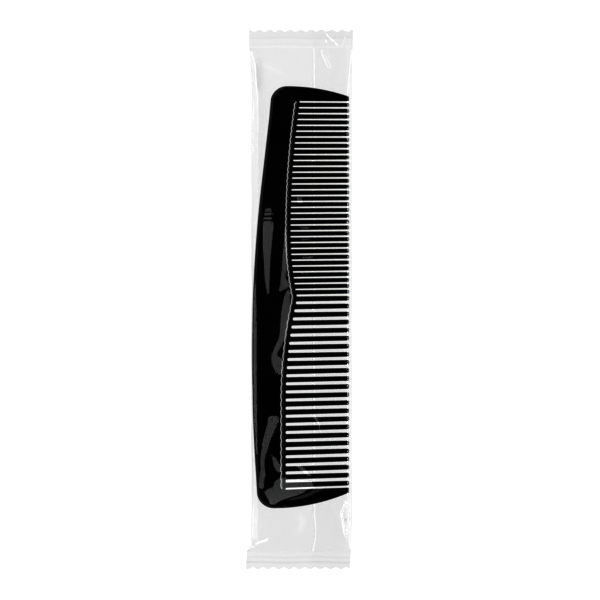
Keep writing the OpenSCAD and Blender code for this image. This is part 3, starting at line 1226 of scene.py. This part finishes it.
        over_teeth = [
            Facet(((31.2, -1.2, 0.5), (28.4, -0.6, 1.3)), 2.5, 4.9, half),
            Facet(((31.1, 10.2, 11.4), (28.6, 12.4, 13.4)), 1.5, 4.9, half),
            Facet(((22.2, -0.6, 3.2), (20.8, 0.0, 3.0)), 4.0, faint, sharp),
            Facet(((18.6, -0.5, 4.4), (17.4, -0.2, 3.6)), 4.0, faint, sharp),
            Facet(((13.4, 0.2, 4.7), (12.0, 0.5, 3.6)), 4.0, faint, sharp),
            Facet(((8.6, -0.4, 2.8), (7.4, 0.0, 2.6)), 3.0, faint, sharp),
            Facet(((-13.2, -0.2, 0.2), (-15.6, 4.8, 5.2)), 1.5, 7.0, half, 0.0),
            Facet(((-35.0, 3.2, 5.2), (-37.0, 5.2, 6.0), (-40.8, 6.4, 6.8), (-43.4, 7.0, 7.4),
                   (-47.4, 8.9, 9.25), (-51.4, 10.6, 10.9)), 1.8, 7.0, (0.6, 0.8), 0.0),
            Facet(((-49.4, -1.6, 0.0), (-50.9, -0.3, 1.8), (-52.2, 1.2, 2.7), (-53.6, 2.9, 4.1)),
                  2.5, faint, half),
            Facet(((-57.6, 6.2, 7.4), (-58.8, 7.4, 8.6)), 1.5, faint, half),
        ]
        beyond = Facet(((75.2, 6.6, 6.9), (72.6, 7.4, 8.3), (69.5, 8.9, 9.2)), 0.8, 25.5, (0.6, 0.6))
        return [edge, *over_back, *over_teeth, beyond]

    def creases(self) -> list[Crease]:
        """Lists the ridges of the front, beyond the coarse end of the comb."""
        return [
            Crease(((-14.2, -74.4), (-12.0, -73.4), (-8.6, -72.2)), 0.26, 0.45, 0.45, 0.12),
            Crease(((15.2, -59.2), (12.9, -64.4), (13.7, -69.0), (14.9, -73.2)), 0.27, 0.5, 0.6, 0.15),
        ]

    def folds_and_painted_light(self) -> list[Crease]:
        """Lists bands where the front gets more layers, as painted shade, and fewer, as painted light."""
        return [
            # painted shade beside the left crease at the fine end
            Crease(((-13.8, 73.8), (-13.3, 70.0), (-13.1, 67.0), (-12.6, 61.0)), 2.2, 2.6, 0.2, 0.35),
            # painted light: a faint pale line running down to the right
            Crease(((-12.2, 71.4), (-7.8, 69.4), (-3.0, 66.8)), -0.35, 0.5, 1.2),
            # more layers along the bottom-left crease and in a short band near the right fold, darker there
            Crease(((-14.0, -73.7), (-11.5, -72.6)), 1.5, 0.4, 0.4),
            Crease(((13.0, -66.4), (15.5, -65.9)), 2.4, 0.4, 0.4),
            # painted light: a pale band beside the right crease past the coarse end
            Crease(((14.9, -60.5), (14.1, -64.8), (14.7, -71.0)), -0.75, 1.3, 1.2),
            # painted light: a pale patch in the middle past the coarse end
            Crease(((-1.0, -63.0), (0.8, -67.0), (-0.6, -71.5)), -0.7, 1.5, 1.5, 0.4),
        ]

    def front_section(self, y: Array) -> tuple[Array, Array]:
        """Lays out the corners of the front's section: fold, crease, shoulder, middle, crease, fold.

        Args:
            y: y of each place.

        Returns:
            x and z of the corners, a row for each corner.
        """
        plan, comb = self.plan, self.comb.plan
        left, right = self.fold_x(plan.left, y), self.fold_x(plan.right, y)
        top = self.mid_z + comb.back_thick / 2 + plan.slack
        right_top = self.mid_z + comb.half_thick(comb.tips_x) + plan.slack + plan.right_slack
        left_crease = np.maximum(np.interp(y, *zip(*plan.left_crease)), left + 0.3)
        right_crease = np.minimum(np.interp(y, *zip(*plan.right_crease)), right - 0.3)
        shoulder = np.maximum(self.comb_edge(y) + 0.2, left_crease + 0.05)
        flat_z = self.mid_z + 0.02
        top_z = flat_z + (top - flat_z) * self.opening(y)
        right_z = flat_z + (right_top - flat_z) * self.opening(y)
        crease_z = top_z - 0.02 * (shoulder - left_crease)
        xs = [left, left_crease, shoulder, np.full_like(y, -3.0), right_crease, right]
        zs = [self.fold_z(y), crease_z, top_z, top_z, right_z, self.fold_z(y)]
        return np.stack(xs), np.stack(zs)

    def build_front(self) -> None:
        """Builds the front of the sachet, draped over the comb and drawn down to the end seals.
        """

        def place(u: Array, v: Array) -> Array:
            """Drapes the front.

            Args:
                u: share across of each point.
                v: share along of each point.

            Returns:
                The points' places.
            """
            y = (2 * v - 1) * self.seal_y
            xs, zs = self.front_section(y)
            x, z = self.along_section(u, self.front_cells, xs, zs)
            held = smooth_step(x - xs[0]) * smooth_step(xs[-1] - x) * self.sealed(y, 1.2)
            rise = self.wrinkles(x, y, 3.0)
            for mark in (*self.facets(), *self.creases()):
                rise = rise + mark.lift(x, y)
            return np.stack([x, y, z + rise * held], 1)

        bm = sheet_grid(sum(self.front_cells), self.along, place)
        for _ in range(2):
            bmesh.ops.smooth_vert(
                bm, verts=[v for v in bm.verts if not v.is_boundary], factor=0.5,
                use_axis_x=True, use_axis_y=True, use_axis_z=True)
        dress_sheet(bm, True)
        plan = self.plan
        x, y = np.array([v.co[:2] for v in bm.verts]).T
        from_left, from_right = x - self.fold_x(plan.left, y), self.fold_x(plan.right, y) - x
        fine_part = smooth_step((y - 5) / 30)
        # Painted shade as extra layers along each fold, at the coarse end and beside the left fold; the tip
        # sheen and the listed bands then add painted shade and painted light.
        layers = plan.left_fold_painted_shade * hump(from_left / (0.4 + 0.25 * fine_part))
        layers += plan.right_fold_painted_shade * hump(from_right / 0.35)
        layers += plan.coarse_painted_shade * smooth_step((-y - 55) / 8)
        layers += plan.left_painted_shade * hump((from_left - 2.6) / 1.6) * fine_part
        layers += self.tip_dent_sheen(from_right, y)
        layers += sum(pleat_and_painted_light.lift(x, y) for pleat_and_painted_light in self.folds_and_painted_light())
        self.mark_layers_and_painted_light(bm, layers)
        piece = make_piece("film_front", bm, Body.SACHET, "front_panel", self.film)

    def tip_dent_sheen(self, from_right: Array, y: Array) -> Array:
        """Adds extra layers beside each tooth tip at the right wall, where the tips press into the film; the
        layers paint a grey sheen over the black tips.

        Args:
            from_right: distance of each place from the right fold.
            y: y of each place.

        Returns:
            The layers that this painted sheen adds at each place.
        """
        comb = self.comb.plan
        own = y - self.comb.middle.y
        pitch = np.where(own > comb.peak[1], comb.fine_pitch, comb.coarse_pitch)
        first = np.where(own > comb.peak[1], comb.first_gap_y, comb.last_gap_y)
        beat = 0.5 - 0.5 * np.cos(2 * math.pi * (own - first) / pitch)
        inside = smooth_step((comb.first_gap_y + 1 - np.abs(own)) / 2)
        return self.plan.tip_sheen_layers * beat * inside * hump((from_right - 0.9) / 0.35)

    def along_section(self, share: Array, cells: Sequence[int], xs: Array, zs: Array) -> tuple[Array, Array]:
        """Places the columns of a sheet along a bent section, with a column at each of its corners.

        Args:
            share: each point's share of the columns.
            cells: number of cells between each two corners.
            xs: x of the section's corners, a row for each corner and a column for each point.
            zs: z of the corners, laid out in the same way.

        Returns:
            x and z of each point.
        """
        x, z = xs[0].copy(), zs[0].copy()
        first = 0
        for k, count in enumerate(cells):
            t = np.clip((share * sum(cells) - first) / count, 0, 1)
            x += (xs[k + 1] - xs[k]) * t
            z += (zs[k + 1] - zs[k]) * t
            first += count
        return x, z

    def mark_layers_and_painted_light(self, bm: bmesh.types.BMesh, layers: Array) -> None:
        """Writes the film's extra layers for its finish: real folds, painted shade and painted light.

        Args:
            bm: the sheet.
            layers: how many layers more it has at each vertex, from folds and from painted shade and painted
                light.
        """
        attribute = bm.verts.layers.float.new("pleat_and_painted_light")
        for vert, value in zip(bm.verts, layers):
            vert[attribute] = value

    # -- the back and the seals

    def under_z(self, y: Array, low: float) -> Array:
        """Gives the height of the film under the comb, rising to the end seals."""
        flat_z = self.mid_z - 0.02
        return flat_z + (low - flat_z) * self.opening(y)

    def lay_under(
        self, name: str, node: str, across: int, place: Place, held: str = "stretched",
    ) -> None:
        """Args:
            name: the piece's name.
            node: the CAD node that it stands for.
            across: number of cells across it.
            place: puts its grid in place.
            held: how it is held, in the frame's words.
        """
        bm = sheet_grid(across, self.under_along, place)
        dress_sheet(bm, False)
        film = self.fin if held == "folded" else self.film
        piece = make_piece(name, bm, Body.SACHET, node, film)

    def build_back_left(self) -> None:
        """Builds the back from the left fold to the fin seal."""
        cells = (3, 3, 38)

        def place(u: Array, v: Array) -> Array:
            """Lays the left back flat, with its edge turned up to the fold.

            Args:
                u: share across of each point.
                v: share along of each point.

            Returns:
                The points' places.
            """
            y = (2 * v - 1) * self.seal_y
            left, low, fold_z = self.fold_x(self.plan.left, y), self.under_z(y, 0.05), self.fold_z(y)
            corner = left + 0.45
            xs = np.stack([left, left + 0.1, corner, self.fin_fold(y)])
            zs = np.stack([fold_z, (fold_z + low) / 2, low, low])
            x, z = self.along_section(u, cells, xs, zs)
            rise = np.abs(self.wrinkles(x, y, 11.0)) * smooth_step((x - corner) / 2)
            return np.stack([x, y, z + rise * self.sealed(y, 1.5) * smooth_step((1 - u) / 0.1)], 1)

        self.lay_under("film_back_left", "back_left_panel", sum(cells), place)

    def build_back_right(self) -> None:
        """Builds the back from the right fold to the fin seal, with its edge turned under into the fin."""
        cells = (3, 1, 3, 3, 6, 38, 3, 3)

        def place(u: Array, v: Array) -> Array:
            """Lays the right back flat, with a low swell beside the fin seal.

            Args:
                u: share across of each point.
                v: share along of each point.

            Returns:
                The points' places.
            """
            y = (2 * v - 1) * self.seal_y
            right, low = self.fold_x(self.plan.right, y), self.under_z(y, 0.17)
            fin, fold_z = self.fin_fold(y), self.fold_z(y)
            crest = fin + 0.78 + 0.15 * smooth_step((-y - 58) / 6)
            corners = [
                (fin + 0.35, low - 0.12), (fin + 0.02, low - 0.12), (fin, low - 0.02),
                (fin + 0.18, low + 0.07), (crest, low + 0.15), (fin + 2.3, low),
                (right - 0.45, low), (right - 0.1, (fold_z + low) / 2), (right, fold_z),
            ]
            x, z = self.along_section(u, cells, *(np.stack(part) for part in zip(*corners)))
            rise = np.abs(self.wrinkles(x, y, 23.0))
            rise = rise * smooth_step((x - fin - 2.2) / 1.5) * smooth_step((right - 0.45 - x) / 1.5)
            return np.stack([x, y, z + rise * self.sealed(y, 1.5)], 1)

        self.lay_under("film_back_right", "back_right_panel", sum(cells), place)

    def build_fin(self) -> None:
        """Builds the fin seal, two layers welded together and folded flat under the back."""

        def place(u: Array, v: Array) -> Array:
            """Lays the fin flat under the right back.

            Args:
                u: share across of each point.
                v: share along of each point.

            Returns:
                The points' places.
            """
            y = (2 * v - 1) * self.seal_y
            ripple = 0.012 * np.sin(y * 2.1) * np.sin(u * 9) * (1 - self.opening(y))
            return np.stack([self.fin_fold(y) + u * self.plan.fin_w, y, self.under_z(y, 0.03) + ripple], 1)

        self.lay_under("film_fin_seal", "fin_seal", 24, place, "folded")

    def puckers(self, end: End) -> list[Facet]:
        """Lists the small sharp folds that run into an end seal; only the fine end has them.

        Args:
            end: the end of the sachet.

        Returns:
            The folds, from left to right.
        """
        rows = (
            (((80.5, 7.5, 7.7), (78.9, 8.6, 8.9), (78.2, 9.4, 10.0), (77.2, 10.9, 11.2)), 0.6, 0.3),
            (((78.6, 7.6, 7.8), (76.8, 8.2, 8.45)), 0.4, 0.3),
            (((77.2, 10.4, 11.0), (76.4, 11.1, 11.9)), 0.5, 0.2),
            (((79.0, 13.5, 13.65), (77.6, 13.1, 13.25), (76.2, 12.5, 12.7)), 0.4, 0.2),
            (((77.9, 13.9, 14.05), (76.1, 13.6, 13.75)), 0.4, 0.2),
            (((78.8, 15.1, 15.25), (76.0, 14.5, 14.65)), 0.4, 0.2),
        )
        if end is End.COARSE:
            return []
        return [Facet(stations, run, 7.0, (fade, fade), 0.0) for stations, run, fade in rows]

    def build_seal(self, end: End, node: str) -> bpy.types.Object:
        """Builds one crimped end seal with its wavy cut edge.

        Args:
            end: the end of the sachet.
            node: the CAD node that it stands for.

        Returns:
            The new piece.
        """
        plan = self.plan
        waves = round(plan.seal_w / plan.point_w)
        # The last tuple of each end gives the crimp ridges that get painted shade, as depth and extra layers.
        if end is End.FINE:
            shift, slant, outer = 0.03, 0.0, 0.35
            ridge_painted_shade = ((0.03, -0.5), (0.2, 0.2), (0.52, 0.5))
        else:
            shift, slant, outer = -0.17, -0.4, 0.1
            ridge_painted_shade = ((0.04, 0.3), (0.33, 0.7), (0.61, 1.1))

        def place(u: Array, v: Array) -> Array:
            """Lays the seal out.

            Args:
                u: share across of each point.
                v: share of the way to the cut edge.

            Returns:
                The points' places.
            """
            x = end.value * plan.skew + (u - 0.5) * plan.seal_w + slant * v
            cut = plan.point_h * (0.5 + 0.5 * np.cos(2 * math.pi * (u * waves + shift)))
            long = plan.seal_len - plan.point_h + cut * v**4
            y = end.value * (self.seal_y + v * long)
            ridge = plan.ridge_h * np.sin(2 * math.pi * plan.ridges * v * long / plan.seal_len)
            curl = 0.12 * (u - 0.5) * v * end.value
            rise = 0.3 * self.wrinkles(x, y, 31.0)
            for pucker in self.puckers(end):
                rise = rise + pucker.lift(x, y)
            rise = ridge * smooth_step(v / 0.1) + curl + rise * smooth_step(v / 0.15)
            return np.stack([x, y, self.mid_z + rise], 1)

        bm = sheet_grid(240, 40, place)
        dress_sheet(bm, True)
        x, y = np.array([v.co[:2] for v in bm.verts]).T
        depth = (y * end.value - self.seal_y) / plan.seal_len + 0.02 * np.sin(x / 3.0)
        # Darker in the outer half of the seal; painted shade as extra layers along the crimp ridges; real
        # extra layers where the fin runs into the seal.
        layers = outer * smooth_step((depth - 0.5) / 0.06)
        layers += sum(hump((depth - at) / 0.05) * share for at, share in ridge_painted_shade)
        layers += 0.25 * smooth_step((x - self.fin_fold(y)) / 0.3)
        self.mark_layers_and_painted_light(bm, layers)
        return make_piece(node + "_crimp", bm, Body.SACHET, node, self.seal)

# ---------------------------------------------------------------- the studio


@dataclass(frozen=True)
class Softbox:
    """A rectangular studio lamp that looks at the object."""

    name: str
    off_zenith: float
    azimuth: float
    width: float
    length: float
    glow: float
    distance: float = 2.2

    def place(self) -> None:
        """Adds the lamp at its angle from the zenith, its long side across the line to the object."""
        lamp = bpy.data.lights.new(self.name, "AREA")
        lamp.shape = "RECTANGLE"
        lamp.size = self.length
        lamp.size_y = self.width
        lamp.energy = self.glow * math.pi * self.width * self.length
        obj = bpy.data.objects.new(self.name, lamp)
        bpy.context.scene.collection.objects.link(obj)
        tilt, turn = math.radians(self.off_zenith), math.radians(self.azimuth)
        way = Vector((math.sin(tilt) * math.cos(turn), math.sin(tilt) * math.sin(turn), math.cos(tilt)))
        obj.location = way * self.distance
        across = Vector((-math.sin(turn), math.cos(turn), 0.0))
        up = way.cross(across)
        obj.matrix_world = Matrix.Translation(obj.location) @ Matrix((across, up, way)).transposed().to_4x4()


@dataclass
class Studio:
    """Light table, softboxes, surroundings and the camera straight above."""

    table: bpy.types.Material
    lens: float = 300.0
    sensor_w: float = 36.0
    view_w: float = 0.1808
    look_y: float = -0.00015
    contrast: float = 0.48
    table_w: float = 8.0
    table_drop: float = 0.00002
    horizon: float = 1.15
    zenith: float = 0.02
    pale_below: float = 0.4
    dark_above: float = 0.55
    boxes: tuple[Softbox, ...] = (
        Softbox("overhead_left", 14.0, 180.0, 0.6, 3.4, 3.3),
        Softbox("side_left", 46.0, 180.0, 0.4, 3.4, 2.4),
        Softbox("side_right", 54.0, 0.0, 0.5, 2.4, 13.0),
    )

    def build(self) -> None:
        """Builds everything that isn't part of the object."""
        self.build_table()
        for box in self.boxes:
            box.place()
        self.build_surroundings()
        self.build_camera()
        scene = bpy.context.scene
        scene.view_settings.view_transform = "Standard"
        scene.view_settings.look = "None"
        scene.view_settings.gamma = self.contrast

    def build_table(self) -> None:
        """Adds the white table just under the sachet."""
        bm = bmesh.new()
        bmesh.ops.create_grid(bm, x_segments=4, y_segments=4, size=self.table_w / 2)
        bmesh.ops.translate(bm, vec=(0, 0, -self.table_drop), verts=bm.verts)
        mesh = bpy.data.meshes.new("table")
        bm.to_mesh(mesh)
        bm.free()
        mesh.materials.append(self.table)
        obj = bpy.data.objects.new("table", mesh)
        bpy.context.scene.collection.objects.link(obj)

    def build_surroundings(self) -> None:
        """Makes the room pale round the horizon and dark overhead."""
        world = bpy.data.worlds.new("studio")
        bpy.context.scene.world = world
        world.use_nodes = True
        tree = world.node_tree
        nodes = Nodes(tree)
        way = nodes.add("TexCoord").outputs["Generated"]
        height = nodes.add("SeparateXYZ", {0: way}).outputs[2]
        values = {0: height, 1: self.pale_below, 2: self.dark_above, 3: self.horizon, 4: self.zenith}
        glow = nodes.add("MapRange", values, interpolation_type="SMOOTHSTEP")
        tree.nodes["Background"].inputs[0].default_value = (1.0, 1.0, 1.0, 1.0)
        tree.links.new(glow.outputs[0], tree.nodes["Background"].inputs[1])

    def build_camera(self) -> None:
        """Adds the camera straight above the middle of the sachet."""
        data = bpy.data.cameras.new("camera")
        data.lens = self.lens
        data.sensor_width = self.sensor_w
        camera = bpy.data.objects.new("camera", data)
        camera.location = (0.0, self.look_y, self.view_w * self.lens / self.sensor_w)
        data.clip_start, data.clip_end = 0.05, 20.0
        bpy.context.scene.collection.objects.link(camera)
        bpy.context.scene.camera = camera


def main() -> None:
    """Builds the comb, the sachet and the studio."""
    logging.basicConfig(level=logging.INFO, format="%(name)s: %(message)s")
    comb = Comb(CombPlan(), CombPlastic().material())
    comb.build()
    film = FilmFinish("clear film")
    fin = FilmFinish("folded film", layers=0.25)
    seal = FilmFinish("crimped film", layers=2.0, rough=0.12, crinkle=0.3)
    Sachet(SachetPlan(), comb, film.material(), fin.material(), seal.material()).build()
    Studio(TableFinish().material()).build()


if __name__ == "__main__":
    main()
